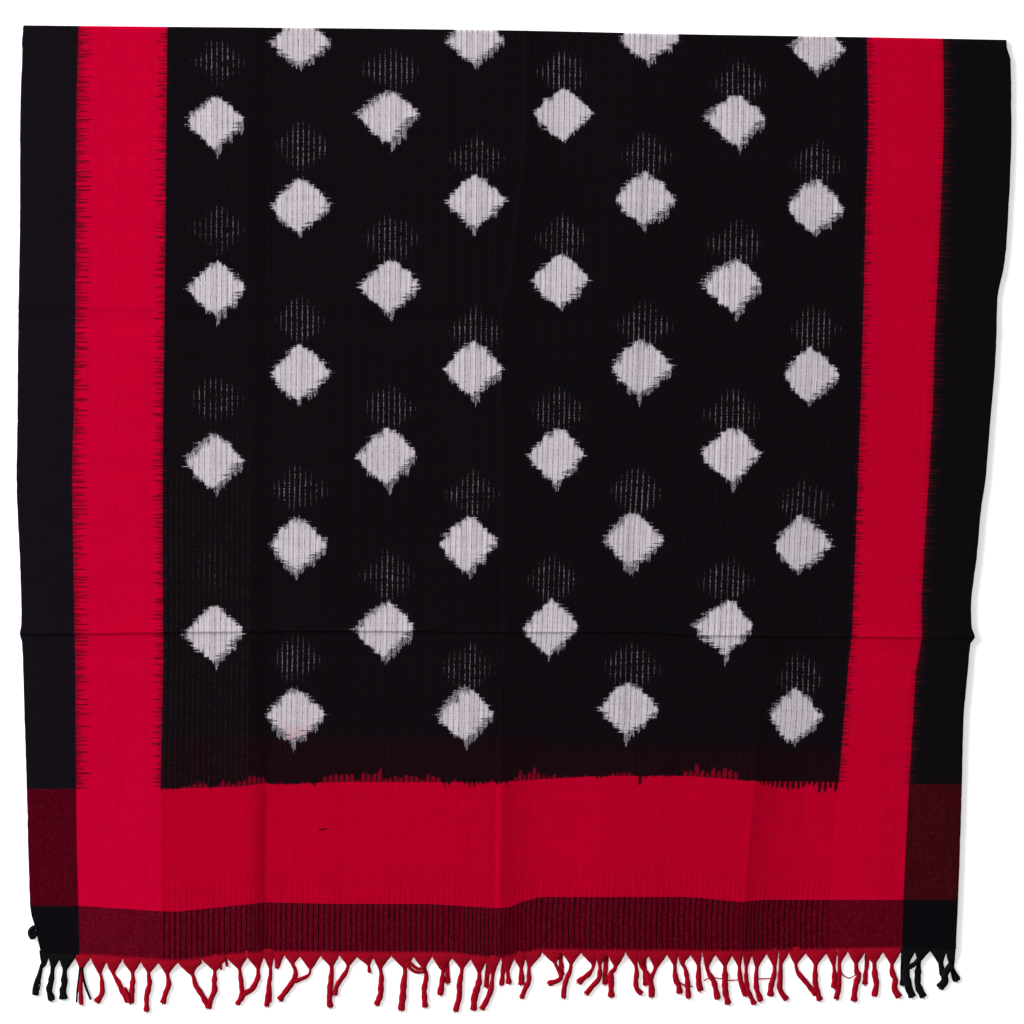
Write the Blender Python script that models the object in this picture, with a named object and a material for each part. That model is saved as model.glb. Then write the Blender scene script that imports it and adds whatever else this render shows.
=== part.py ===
"""A cotton ikat shawl, folded once across its length and laid flat, with its twisted fringes.

Metres, +Z up. +Y points to the fold, +X to the right selvedge, and the rear layer lies on Z = 0.
Tables are in millimetres: across from the left end of the fold, down from its highest point.
"""

import math
from collections import namedtuple

import bmesh
import bpy
from mathutils import Vector

MM = 0.001

# The woven sheet
THICKNESS = 1.0
FRONT_TOP = 3.9  # usual height of the front layer's upper face
FRONT_LOWEST = 3.3  # keeps the front layer off the rear one's fringe
FRONT_HIGHEST = 5.5
FOLD_REACH = 3.0  # how far the rounded fold stands out past the flat layers
FOLD_STEPS = 6
REAR_SHORTFALL = 36.0  # the rear layer ends this much higher than the front one
REAR_INSET = 5.0  # and lies this much inside its selvedges
INSET_RUN = 60.0  # over which the inset grows, from the fold
REAR_ROWS = 8

# Edges of the front layer: (down, across) for the selvedges, (across, down) for the ends
LEFT_SELVEDGE = (
    (0, 3),
    (60, 1),
    (180, 0),
    (330, -2.5),
    (480, -3),
    (600, 1.5),
    (615, 0.5),
    (650, 3),
    (780, 7),
    (900, 12),
    (935, 19),
)
RIGHT_SELVEDGE = (
    (0, 986),
    (35, 990),
    (105, 991.5),
    (185, 988.5),
    (240, 984),
    (280, 976.5),
    (400, 970),
    (530, 957),
    (585, 951),
    (613, 954),
    (650, 948),
    (760, 942),
    (935, 936),
)
FOLD_LINE = ((0, 0), (320, 3.5), (540, 7), (830, 12.5), (990, 16.5))
FRONT_END = (
    (0, 927),
    (70, 930),
    (160, 936),
    (245, 927),
    (430, 928),
    (475, 933),
    (520, 925),
    (720, 926.5),
    (880, 923),
    (990, 926),
)

# Pressed folds: path as in the edges, half width, rise at the line, and tilt from one side to the other
Fold = namedtuple("Fold", "path half rise tilt")
LENGTHWISE_FOLDS = (
    Fold(((0, 246), (300, 243), (900, 244)), 26, -0.5, 0.4),
    Fold(((0, 504), (130, 503), (240, 492), (300, 478), (620, 484), (760, 480), (930, 475)), 26, 0.2, 0.9),
    Fold(((0, 752), (195, 747), (310, 737), (475, 737), (560, 748), (760, 732), (930, 722)), 26, 0.7, -0.4),
)
CROSSWISE_FOLDS = (
    Fold(((0, 284), (480, 287), (670, 289), (845, 302), (990, 311)), 32, 0.6, 0.2),
    Fold(((0, 610), (360, 607), (550, 608), (700, 611), (990, 615)), 32, 1.3, -0.2),
)

# Slow waves of the front layer, added up
Wave = namedtuple("Wave", "across down height phase")
WAVES = (
    Wave(410, math.inf, 0.35, 0.4),
    Wave(math.inf, 530, 0.25, 1.1),
    Wave(230, 700, 0.25, 2.0),
)

# Grid lines between two folds or edges, as shares of the way: close to a fold, wide between
GRID_SHARES = (0.0, 0.05, 0.11, 0.3, 0.5, 0.7, 0.89, 0.95)
SETTLE_ROUNDS = 3  # a grid point's across and down depend on each other

# Fringe strands
GAP = 0.4  # between the cloth's end and the strip that the strands grow from
STRIP = 4.0
FACING = 0.9  # how squarely a strip's face looks away from the cloth to carry a strand
ROOT_CLEAR = 0.2  # least distance from a root's side to the strip's next corner
STRAND_WIDTH = 5.0
STRAND_CREST = 0.55  # width of a strand's top as a share of its foot
STRAND_PITCH = 6.5  # least distance between two strands
FRONT_STRAND_HEIGHT = 2.6
REAR_STRAND_HEIGHT = 1.8
DROP = 12.0  # a front strand comes down to the floor over this length
EASE = 1.5  # how late a strand leans over
BODY_STEPS = 3
REAR_GAP = 15.0  # a rear strand shows where the front ones leave this much
REAR_LEAN = 4.0
REAR_PEEP = 22.0  # and reaches this far below the front layer's end
REAR_HIDDEN = 5.0  # the others stop this far above it

# Front strands that lie together: first and last root across, the lean of each tip, and their length
Group = namedtuple("Group", "first last leans length")
FRONT_GROUPS = (
    Group(24, 43, (-8, -2, -1), 43),
    Group(61, 79, (-1, -3), 47),
    Group(93, 112, (17, -2), 48),
    Group(129, 147, (-3, -6), 48),
    Group(170, 195, (16, -8), 46),
    Group(219, 238, (-1, -19), 50),
    Group(249, 249, (-2,), 53),
    Group(274, 288, (-16, -13), 48),
    Group(310, 325, (-1, -10), 50),
    Group(358, 384, (-1, -3), 54),
    Group(401, 422, (4, -2), 48),
    Group(441, 460, (-6, -7), 54),
    Group(475, 489, (-13, -9, 0), 50),
    Group(500, 510, (-1, -8), 45),
    Group(535, 552, (7, -8), 46),
    Group(571, 597, (-5, 2, -5), 46),
    Group(614, 636, (6, -4), 45),
    Group(652, 663, (8, 6), 44),
    Group(679, 687, (1, 12), 46),
    Group(704, 704, (5,), 53),
    Group(719, 739, (5, 7, 3), 50),
    Group(754, 762, (-3, 5), 47),
    Group(775, 797, (20, 3), 48),
    Group(815, 855, (2, 0, 1), 48),
    Group(870, 885, (9, 7), 46),
    Group(900, 900, (3,), 46),
    Group(921, 934, (0, 4), 36),
)

# Plain colours, linear, and the roughness of matt cotton
CLOTH_COLOUR = (0.02, 0.012, 0.018)
FRINGE_COLOUR = (0.45, 0.0, 0.02)
COTTON_ROUGHNESS = 0.85

Strand = namedtuple("Strand", "root tip length")


def along(path, place):
    """The value of a path of (place, value) rows at a place, held at its ends."""
    if place <= path[0][0]:
        return path[0][1]
    for (start, first), (end, last) in zip(path, path[1:]):
        if place <= end:
            return first + (last - first) * (place - start) / (end - start)
    return path[-1][1]


def between(guides, position, place):
    """Position 1.25 is a quarter of the way from the second guide to the third."""
    band = min(int(position), len(guides) - 2)
    share = position - band
    return (1 - share) * along(guides[band], place) + share * along(guides[band + 1], place)


COLUMN_GUIDES = (LEFT_SELVEDGE, *(fold.path for fold in LENGTHWISE_FOLDS), RIGHT_SELVEDGE)
ROW_GUIDES = (FOLD_LINE, *(fold.path for fold in CROSSWISE_FOLDS), FRONT_END)


def grid_lines(guides):
    lines = [band + share for band in range(len(guides) - 1) for share in GRID_SHARES]
    return lines + [len(guides) - 1]


def front_place(column, row):
    """Across and down of a point of the front layer, on the folds' own slanting lines."""
    across = between(COLUMN_GUIDES, column, 0)
    for _ in range(SETTLE_ROUNDS):
        down = between(ROW_GUIDES, row, across)
        across = between(COLUMN_GUIDES, column, down)
    return across, down


def fold_relief(fold, off):
    share = off / fold.half
    if abs(share) >= 1:
        return 0.0
    return fold.rise * math.cos(math.pi * share / 2) ** 2 - fold.tilt * math.sin(math.pi * share)


def front_height(across, down):
    """Height of the front layer's upper face: folds and slow waves on a level."""
    height = FRONT_TOP
    for fold in LENGTHWISE_FOLDS:
        height += fold_relief(fold, across - along(fold.path, down))
    for fold in CROSSWISE_FOLDS:
        height += fold_relief(fold, down - along(fold.path, across))
    for wave in WAVES:
        turn = across / wave.across + down / wave.down
        height += wave.height * math.sin(2 * math.pi * turn + wave.phase)
    return min(max(height, FRONT_LOWEST), FRONT_HIGHEST)


def strands_in(groups):
    """One strand for each lean, its root and tip kept clear of the strand before."""
    strands = []
    for group in groups:
        steps = max(len(group.leans) - 1, 1)
        for step, lean in enumerate(group.leans):
            root = group.first + (group.last - group.first) * step / steps
            tip = root + lean
            if strands:
                root = max(root, strands[-1].root + STRAND_PITCH)
                tip = max(tip, strands[-1].tip + STRAND_PITCH)
            strands.append(Strand(root, tip, group.length))
    return strands


def strand_across(strand, run):
    share = min(run / strand.length, 1)
    return strand.root + (strand.tip - strand.root) * share**EASE


def rear_strands_between(strands):
    """A rear strand under each gap of the front ones, long where the gap lets it show."""
    rear = []
    for left, right in zip(strands, strands[1:]):
        root = (left.root + right.root) / 2
        tip = (strand_across(left, REAR_PEEP) + strand_across(right, REAR_PEEP)) / 2
        gap = strand_across(right, REAR_PEEP) - strand_across(left, REAR_PEEP)
        if gap >= REAR_GAP and abs(tip - root) <= REAR_LEAN:
            rear.append(Strand(root, tip, REAR_SHORTFALL + REAR_PEEP))
        else:
            rear.append(Strand(root, root, REAR_SHORTFALL - REAR_HIDDEN))
    return rear


def rear_place(column, share):
    """Across and down of a point of the rear layer, share 0 at the fold and 1 at its end."""
    across, top = front_place(column, 0)
    down = top + FOLD_REACH
    down += share * (along(FRONT_END, across) - REAR_SHORTFALL - down)
    left = along(LEFT_SELVEDGE, down)
    right = along(RIGHT_SELVEDGE, down)
    inset = REAR_INSET * min((down - top - FOLD_REACH) / INSET_RUN, 1)
    part = (between(COLUMN_GUIDES, column, down) - left) / (right - left)
    return left + inset + part * (right - left - 2 * inset), down


COLUMNS = grid_lines(COLUMN_GUIDES)
ROWS = grid_lines(ROW_GUIDES)
FRONT_STRANDS = strands_in(FRONT_GROUPS)
REAR_STRANDS = rear_strands_between(FRONT_STRANDS)

# The two ends as the sheet's grid has them, so that the fringes' strips follow them closely
FRONT_EDGE = tuple(front_place(column, ROWS[-1]) for column in COLUMNS)
REAR_EDGE = tuple(rear_place(column, 1) for column in COLUMNS)

# The origin is under the middle of the whole shawl, fringe included
MIDDLE_ACROSS = (min(a for _, a in LEFT_SELVEDGE) + max(a for _, a in RIGHT_SELVEDGE)) / 2
DEEPEST = max(along(FRONT_EDGE, strand.root) + strand.length for strand in FRONT_STRANDS)
MIDDLE_DOWN = DEEPEST / 2


def point(across, down, height):
    return Vector((across - MIDDLE_ACROSS, MIDDLE_DOWN - down, height)) * MM


def sheet_section():
    """Rows of the folded sheet from the front end, over the fold, to the rear end.

    Each row is a function of the column that gives a point of the outer face.
    """

    def front_row(row):
        def at(column):
            across, down = front_place(column, row)
            if row == 0:
                down += FOLD_REACH
            return point(across, down, front_height(across, down))

        return at

    def fold_row(angle):
        def at(column):
            across, down = front_place(column, 0)
            radius = front_height(across, down + FOLD_REACH) / 2
            reach = FOLD_REACH * (1 - math.cos(angle))
            return point(across, down + reach, radius * (1 + math.sin(angle)))

        return at

    def rear_row(share):
        def at(column):
            return point(*rear_place(column, share), 0)

        return at

    section = [front_row(row) for row in reversed(ROWS)]
    for step in range(1, FOLD_STEPS):
        section.append(fold_row(math.pi * (0.5 - step / FOLD_STEPS)))
    section += [rear_row(step / REAR_ROWS) for step in range(REAR_ROWS + 1)]
    return section


def new_object(name, bm, colour):
    mesh = bpy.data.meshes.new(name)
    bm.to_mesh(mesh)
    bm.free()
    obj = bpy.data.objects.new(name, mesh)
    bpy.context.scene.collection.objects.link(obj)
    material = bpy.data.materials.new(name)
    material.use_nodes = True
    shader = material.node_tree.nodes["Principled BSDF"]
    shader.inputs["Base Color"].default_value = (*colour, 1)
    shader.inputs["Roughness"].default_value = COTTON_ROUGHNESS
    shader.inputs["Metallic"].default_value = 0
    mesh.materials.append(material)
    return obj


def make_cloth():
    """One grid bent over the fold, then given its thickness towards the inside."""
    section = sheet_section()
    bm = bmesh.new()
    bmesh.ops.create_grid(bm, x_segments=len(COLUMNS) - 1, y_segments=len(section) - 1, size=1)
    for vert in bm.verts:
        column = COLUMNS[round((vert.co.x + 1) / 2 * (len(COLUMNS) - 1))]
        row = section[round((vert.co.y + 1) / 2 * (len(section) - 1))]
        vert.co = row(column)
    cloth = new_object("cloth", bm, CLOTH_COLOUR)
    cloth.data.shade_smooth()
    wall = cloth.modifiers.new("Thickness", "SOLIDIFY")
    wall.thickness = THICKNESS * MM
    wall.offset = -1
    wall.use_even_offset = True
    return cloth


def ring_places(strand, end, heights, height):
    """Centre run, foot and crest height of each ring of a strand, from its root outwards."""
    foot, crest = heights
    start = GAP + STRIP
    if foot > 0:
        yield start + DROP / 2, foot / 2, (crest + height) / 2
    floor = start + DROP
    for step in range(BODY_STEPS + 1):
        yield floor + (strand.length - floor) * step / BODY_STEPS, 0, height


def grow_strand(bm, face, strand, end, heights, height):
    """Extrudes the strip's face ring by ring; each corner keeps its side and level."""
    corners = [(loop.vert.co.x, loop.vert.co.z) for loop in face.loops]
    middle = face.calc_center_median()
    sides = [(1 if x > middle.x else -1, z > middle.z) for x, z in corners]
    last = GAP + STRIP
    for run, foot, crest in ring_places(strand, end, heights, height):
        lean = strand_across(strand, run) - strand_across(strand, last)
        length = math.hypot(lean, run - last)
        face = bmesh.ops.extrude_discrete_faces(bm, faces=[face])["faces"][0]
        for loop, (side, high) in zip(face.loops, sides):
            half = side * STRAND_WIDTH / 2 * (STRAND_CREST if high else 1)
            across = strand_across(strand, run) + half * (run - last) / length
            down = end + run - half * lean / length
            loop.vert.co = point(across, down, crest if high else foot)
        last = run


def strip_lines(strands, cloth_edge):
    """Both sides of each root, and the corners of the cloth's end that lie between two roots."""
    clear = STRAND_WIDTH / 2 + ROOT_CLEAR
    lines = [strand.root + side * STRAND_WIDTH / 2 for strand in strands for side in (-1, 1)]
    for across, _ in cloth_edge:
        inside = strands[0].root < across < strands[-1].root
        if inside and all(abs(across - strand.root) > clear for strand in strands):
            lines.append(across)
    return sorted(lines)


def make_fringe(name, strands, cloth_edge, under, height):
    """A narrow strip along the cloth's end, with a strand grown from it at each root."""
    edges = strip_lines(strands, cloth_edge)
    bm = bmesh.new()
    bmesh.ops.create_grid(bm, x_segments=len(edges) - 1, y_segments=1, size=1)
    for vert in bm.verts:
        across = edges[round((vert.co.x + 1) / 2 * (len(edges) - 1))]
        down = along(cloth_edge, across) + GAP + (0 if vert.co.y > 0 else STRIP)
        vert.co = point(across, down, under(across) + THICKNESS)
    low = bmesh.ops.extrude_face_region(bm, geom=bm.faces[:])["geom"]
    for vert in (item for item in low if isinstance(item, bmesh.types.BMVert)):
        vert.co.z -= THICKNESS * MM
    bmesh.ops.recalc_face_normals(bm, faces=bm.faces)
    bm.normal_update()
    fronts = [face for face in bm.faces if face.normal.y < -FACING]
    for strand in strands:
        end = along(cloth_edge, strand.root)
        root = point(strand.root, 0, 0).x
        face = min(fronts, key=lambda front: abs(front.calc_center_median().x - root))
        fronts.remove(face)
        foot = under(strand.root)
        grow_strand(bm, face, strand, end, (foot, foot + THICKNESS), height)
    return new_object(name, bm, FRINGE_COLOUR)


def front_under(across):
    return front_height(across, along(FRONT_EDGE, across)) - THICKNESS


def rear_under(across):
    return 0.0


def main():
    for obj in list(bpy.data.objects):
        bpy.data.objects.remove(obj, do_unlink=True)
    make_cloth()
    make_fringe("fringe_front", FRONT_STRANDS, FRONT_EDGE, front_under, FRONT_STRAND_HEIGHT)
    make_fringe("fringe_rear", REAR_STRANDS, REAR_EDGE, rear_under, REAR_STRAND_HEIGHT)


main()
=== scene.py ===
"""Looks of a cotton ikat shawl, folded once and laid flat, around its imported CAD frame.

Laid out as a Blender add-on. Tables are in millimetres: across from the left end of the
fold, down from its highest point. Objects are in metres, +Y to the fold, +Z up.
"""

import math
import random
from collections import namedtuple
from functools import partial

import bmesh
import bpy
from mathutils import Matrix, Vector, noise


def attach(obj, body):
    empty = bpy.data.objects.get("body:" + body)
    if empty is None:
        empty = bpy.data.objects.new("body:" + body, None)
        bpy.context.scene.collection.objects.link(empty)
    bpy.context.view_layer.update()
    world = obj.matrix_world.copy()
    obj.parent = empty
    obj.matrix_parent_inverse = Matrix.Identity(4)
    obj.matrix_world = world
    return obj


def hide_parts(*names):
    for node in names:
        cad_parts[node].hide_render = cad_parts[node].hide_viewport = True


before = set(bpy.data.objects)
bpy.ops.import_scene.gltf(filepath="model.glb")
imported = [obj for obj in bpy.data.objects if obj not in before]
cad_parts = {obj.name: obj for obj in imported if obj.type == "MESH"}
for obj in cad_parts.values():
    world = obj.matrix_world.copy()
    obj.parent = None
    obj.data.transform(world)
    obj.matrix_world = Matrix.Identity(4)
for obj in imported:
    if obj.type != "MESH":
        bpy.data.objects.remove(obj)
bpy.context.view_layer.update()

bl_info = {
    "name": "Folded ikat shawl",
    "version": (1, 0, 0),
    "blender": (4, 5, 0),
    "location": "3D View > Sidebar > Shawl",
    "description": "Builds a folded cotton ikat shawl with twisted fringes and a plain studio stage",
    "category": "Add Mesh",
}

MM = 0.001
MERGE = 0.01 * MM  # points of a tube that are closer than this are one

# Edges of the front layer: (down, across) for the selvedges, (across, down) for the ends
LEFT_SELVEDGE = (
    (0, 3.2), (10, 2.4), (17, 1.8), (24, 2.2), (60, 1), (115, 0), (175, 0), (305, -2), (400, -2.8),
    (455, -3.5), (535, 0), (598, 1.5), (609, 0), (618, 2), (675, 4), (775, 7), (880, 10), (893, 12),
    (903, 15.5), (911, 17), (921, 19.3), (935, 22.5),
)
RIGHT_SELVEDGE = (
    (0, 985), (14, 986.5), (24, 987.5), (32, 990.6), (105, 991.5), (185, 988.6), (235, 985), (275, 977.5),
    (325, 976), (400, 970), (455, 965.5), (485, 961), (530, 957), (585, 951), (601, 951.5), (612, 954.6),
    (619, 950.5), (645, 948), (695, 943.5), (760, 942), (855, 939), (915, 936.5), (935, 936),
)
FOLD_LINE = ((0, 0), (130, 1.3), (320, 2.9), (430, 4.2), (540, 6), (660, 8.8), (830, 11.6), (990, 14.6))
FRONT_END = (
    (0, 927), (70, 930), (160, 936), (205, 930), (245, 927), (430, 928), (475, 933), (500, 929), (520, 925),
    (720, 926.5), (880, 923), (990, 926),
)

# Pressed folds of the front layer. path as in the edges; section is (off, height) across the
# line, towards the right selvedge or the end; strength is (place along the line, share)
Crease = namedtuple("Crease", "path section strength")
LEFT_CREASE = Crease(
    ((0, 247), (300, 246), (900, 247.5), (935, 248)),
    ((-58, 0), (-34, 0.55), (-20, 1.0), (-14, 0.8), (-8, 0.0), (-1.5, -1.4), (0, -1.55), (10, -1.45),
     (30, -0.7), (58, 0)),
    ((0, 0.35), (400, 0.4), (740, 0.8), (800, 1), (940, 1)),
)
MIDDLE_CREASE = Crease(
    ((0, 505), (130, 503), (187, 496), (240, 492), (300, 479), (620, 484), (650, 480), (760, 479),
     (930, 477)),
    ((-60, 0), (-20, 0.7), (-10, 0.9), (-3.5, 0.75), (-1, 1.05), (1, 1.5), (2, 1.5), (14, 0.0), (28, -1.0),
     (42, -1.35), (60, -1.1), (95, 0)),
    ((0, 0.5), (700, 0.55), (800, 1), (940, 1)),
)
RIGHT_CREASE = Crease(
    ((0, 752), (195, 747), (310, 737), (475, 737), (560, 748), (760, 734), (875, 725), (930, 722)),
    ((-70, 0), (-20, 0.9), (-3, 1.25), (0, 1.3), (1.5, 1.1), (14, -0.45), (28, -1.3), (45, -1.6), (75, -0.8),
     (110, 0)),
    ((0, 0.4), (700, 0.5), (780, 1), (940, 1)),
)
UPPER_CREASE = Crease(
    ((0, 284), (480, 287), (670, 289), (790, 296), (845, 302), (990, 311)),
    ((-40, 0), (-14, 0.2), (-2, 0.55), (0, 0.35), (2, 0.1), (12, -0.15), (30, 0)),
    ((0, 1), (990, 1)),
)
LOWER_CREASE = Crease(
    ((0, 609.8), (60, 609.5), (140, 608.4), (320, 607), (400, 607.2), (480, 608), (620, 608), (670, 611),
     (990, 614)),
    ((-40, 0), (-16, 0.3), (-4, 1.0), (-1.2, 1.4), (-0.2, 0.65), (0.9, 0.05), (2, -0.05), (6, -0.1),
     (16, -0.35), (40, 0)),
    ((0, 1), (990, 1)),
)
LENGTHWISE = (LEFT_CREASE, MIDDLE_CREASE, RIGHT_CREASE)
CROSSWISE = (UPPER_CREASE, LOWER_CREASE)

# Warp threads and where they lie: (place across at the fold, path as in the selvedges).
# They close up at the pressed folds near the end.
WARP_LINES = (
    (1, LEFT_SELVEDGE),
    (56.5, ((1, 58.5), (75, 56.5), (325, 55), (455, 52), (630, 55), (820, 56.7), (905, 59))),
    (145.6, ((2, 147.4), (185, 145.6), (405, 143), (505, 142.5), (630, 143.5), (763, 140.5), (892, 141.6))),
    (197, ((97, 197), (608, 195), (892, 193.7))),
    (229.6, ((97, 229.6), (608, 228), (892, 226.8))),
    (267.6, ((97, 267.6), (350, 265.8), (691, 261.5), (892, 255.2))),
    (280, ((20, 280), (350, 278), (522, 275), (691, 273), (892, 267.6))),
    (371, ((92, 371), (432, 369), (605, 367), (892, 358.4))),
    (455, ((15, 455), (346, 453), (520, 449), (690, 447), (892, 442.2))),
    (543, ((88, 543), (430, 537), (603, 531), (892, 508.5))),
    (628, ((12, 628), (345, 620), (517, 610), (685, 607), (892, 594.6))),
    (719, ((95, 719), (430, 713), (603, 707), (892, 686.8))),
    (750.8, ((95, 750.8), (430, 743.5), (603, 737), (740, 731), (892, 719))),
    (783.4, ((25, 783.4), (352, 776), (522, 764), (691, 761), (892, 742.3))),
    (798, ((25, 798), (352, 790), (522, 778), (691, 775), (892, 757))),
    (848.6, ((13, 846.6), (95, 848.6), (175, 846), (300, 843), (375, 841), (445, 838.6), (515, 836),
             (590, 833), (613, 832), (640, 828.5), (757, 819), (892, 808))),
    (924, ((13, 923), (95, 924), (165, 921.6), (225, 919), (305, 915), (385, 912.7), (450, 909), (520, 904.4),
           (575, 901.5), (611, 902), (630, 899), (645, 896), (760, 889), (875, 883.5), (925, 882))),
    (991.5, RIGHT_SELVEDGE),
)
# Columns of diamonds: place across at the fold of each repeat
MOTIF_COLUMNS = ((197, 0), (280, 1), (371, 2), (455, 3), (543, 4), (628, 5), (719, 6), (798, 7))
REPEAT = 84.5

# Wefts and where they lie: (repeats from the first row of diamonds, path as in the ends)
LAST_DIAMONDS = 8.55
BAND_TOP = 8.8
BAND_FOOT = 10.22
CLOTH_END = 10.8
FRONT_WEFTS = (
    (0, ((280, 20), (455, 15), (628, 12), (798, 25))),
    (1, ((197, 97), (371, 92), (543, 88), (719, 95))),
    (2, ((280, 182), (455, 178), (628, 176), (798, 186))),
    (3, ((197, 265), (371, 262), (543, 255), (719, 260))),
    (4, ((278, 350), (453, 346), (620, 345), (790, 352))),
    (5, ((195, 438), (369, 432), (537, 430), (713, 430))),
    (6, ((275, 522), (449, 520), (610, 517), (778, 522))),
    (7, ((195, 611), (367, 605), (531, 603), (707, 603))),
    (8, ((273, 694), (447, 692.5), (607, 684.5), (775, 693.5))),
    (BAND_TOP, ((10, 764), (140, 764), (225, 761.5), (243, 758.3), (247, 758.6), (260, 759.6), (320, 757),
                (480, 757), (580, 751), (670, 751), (730, 756), (818, 757), (887, 759), (942, 759))),
    (BAND_FOOT, ((10, 881), (60, 881), (145, 886.5), (160, 886.5), (245, 877.5), (310, 879), (410, 879),
                 (473, 883), (488, 882.5), (505, 876), (520, 872), (670, 872), (722, 877), (740, 875),
                 (940, 875))),
    (CLOTH_END, FRONT_END),
)
# Where the field's red warp runs past the end band's edge into the black (or stops short of it
# when negative): (across at the edge, reach)
BAND_EDGE_DOWN = 757.0
BAND_EDGE_STEPS = (
    (140, -1), (166, -1), (168, 9), (184, 8), (186, 0), (198, 0), (201, 8), (222, 10), (243, 8), (247, 0),
    (258, 0), (260, 4), (262, 4), (264, 0), (280, 0), (282, 7), (285, 7), (287, -3), (296, -3), (300, 2),
    (303, 7), (355, 8), (358, 13), (361, 13), (364, 7), (420, 6), (423, -4), (432, -4), (435, 4), (438, 0),
    (448, -4), (468, -4), (472, 4), (476, -3), (490, -2), (495, 9), (515, 11), (519, 3), (530, 5), (534, 7),
    (540, 1), (570, 1), (575, -5), (586, -5), (588, 4), (602, 3), (612, 5), (615, -7), (625, -7), (630, 0),
    (660, 0), (663, 6), (670, 10), (695, 12), (718, 9), (721, 0), (735, 0), (740, -7), (820, -9),
)
REAR_WEFTS = (
    (-1, ((197, 37), (371, 45), (543, 48), (719, 60))),
    (-2, ((280, 120), (455, 135), (628, 130), (798, 140))),
    (-3, ((197, 203), (371, 215), (543, 212), (719, 220))),
    (-4, ((278, 295), (453, 310), (620, 300), (790, 305))),
    (-5, ((195, 373), (369, 383), (537, 387), (713, 390))),
    (-6, ((275, 465), (449, 470), (610, 465), (778, 480))),
    (-7, ((195, 542), (367, 550), (531, 555), (707, 555))),
    (-8, ((273, 633), (447, 645), (607, 641), (775, 656))),
    (-BAND_TOP, ((140, 702), (450, 709), (850, 719))),
    (-BAND_FOOT, ((140, 822), (450, 824), (850, 832))),
)

# Heights of the sheet, and the shape of its fold
FRONT_TOP = 4.3
FRONT_LOWEST = 2.3
FRONT_HIGHEST = 7.2
WAVES = (  # (height, wavelength across, wavelength down, start)
    (0.35, 410, math.inf, 0.4),
    (0.25, math.inf, 530, 1.1),
    (0.25, 230, 700, 2.0),
)
UNEVENNESS = 0.3
UNEVEN_GRAIN = (45, 90)
FRAY = 0.5  # how far a selvedge waves in and out
FOLD_REACH = 3.0
FOLD_EASE = 24.0  # over which the rows make room for the rounded fold
FOLD_STEPS = 8
REAR_SHORTFALL = 36.0
REAR_INSET = 5.0
INSET_RUN = 60.0
REAR_SHARES = (0, 0.004, 0.009, 0.016)  # rows next to the fold, as shares of the rear layer
REAR_ROWS = 30
SQUEEZE = 12.0  # the black stretch past the fold, where the rear layer's rows catch up

# Grid lines of the sheet: how far from a pressed fold they lie, then an even step
NEAR_LENGTHWISE = (0, 0.7, 1.6, 2.8, 4.5, 6.8, 9.6, 13)
NEAR_CROSSWISE = (0, 0.4, 0.9, 1.5, 2.3, 3.5, 5.2, 7.6, 11)
COLUMN_STEP = 5.6
ROW_STEP = 6.2

# Sizes and places of the pattern
CLOTH_WIDTH = 991.0
CLOTH_MIDDLE = 500.0  # between the left side band and the right one
DENT_PITCH = 5.43  # a dent of the reed is left empty here, all over the field
FIELD_LEFT = 148.1
FIELD_RIGHT = 848.6
LEFT_BAND_MIDDLE = 101.05
LEFT_BAND_HALF = 44.55
RIGHT_BAND_MIDDLE = 886.3
RIGHT_BAND_HALF = 37.7
WARP_PITCH = 0.9
WEFT_PITCH = 0.95
DIAMOND_BULGE = 1.2
# Diamonds: half across, half down and the softness of their edge
WARP_DIAMOND = (29.5, 28.5, 0.1)
WEFT_DIAMOND = (28.5, 27.0, 0.1)
FAINT_DIAMOND = (27.5, 24.0, 0.3)
BACKLIT_RIGHT = 232.0  # the empty dents left of this show painted backlight through both layers
SLUB_ACROSS = 313.0
SLUB_SLANT = 0.12
SLUB_LINE = 9.347 * REPEAT + 37.6


def along(path, place):
    """The value of a path of (place, value) rows at a place, held at its ends."""
    if place <= path[0][0]:
        return path[0][1]
    for (start, first), (end, last) in zip(path, path[1:]):
        if place <= end:
            return first + (last - first) * (place - start) / (end - start)
    return path[-1][1]


def eased(path, place):
    """As along, with every corner rounded."""
    if place <= path[0][0] or place >= path[-1][0]:
        return along(path, place)
    for index, ((start, first), (end, last)) in enumerate(zip(path, path[1:])):
        if place <= end:
            break
    run = end - start
    before = path[max(index - 1, 0)]
    after = path[min(index + 2, len(path) - 1)]
    slope = (last - first) / run
    slope_in = gentler(slope, (first - before[1]) / (start - before[0]) if start > before[0] else slope)
    slope_out = gentler(slope, (after[1] - last) / (after[0] - end) if after[0] > end else slope)
    share = (place - start) / run
    back = 1 - share
    return (
        first * (1 + 2 * share) * back * back
        + slope_in * run * share * back * back
        + last * share * share * (3 - 2 * share)
        - slope_out * run * share * share * back
    )


def gentler(one, other):
    """The gentler of two slopes, or level between a rise and a fall."""
    if one * other <= 0:
        return 0.0
    return 2 * one * other / (one + other)


def placed_between(lines, place, at):
    """The value of the lines at a place, each line being (value, path), carried on past both ends."""
    spots = [(along(path, at), value) for value, path in lines]
    for (low, first), (high, last) in zip(spots, spots[1:]):
        if place <= high:
            break
    return first + (last - first) * (place - low) / max(high - low, 0.01)


COLUMN_GUIDES = (LEFT_SELVEDGE, *(crease.path for crease in LENGTHWISE), RIGHT_SELVEDGE)
ROW_GUIDES = (FOLD_LINE, *(crease.path for crease in CROSSWISE), FRONT_END)
COLUMN_SPANS = (245, 245, 250, 225)
ROW_SPANS = (288, 318, 320)


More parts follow.
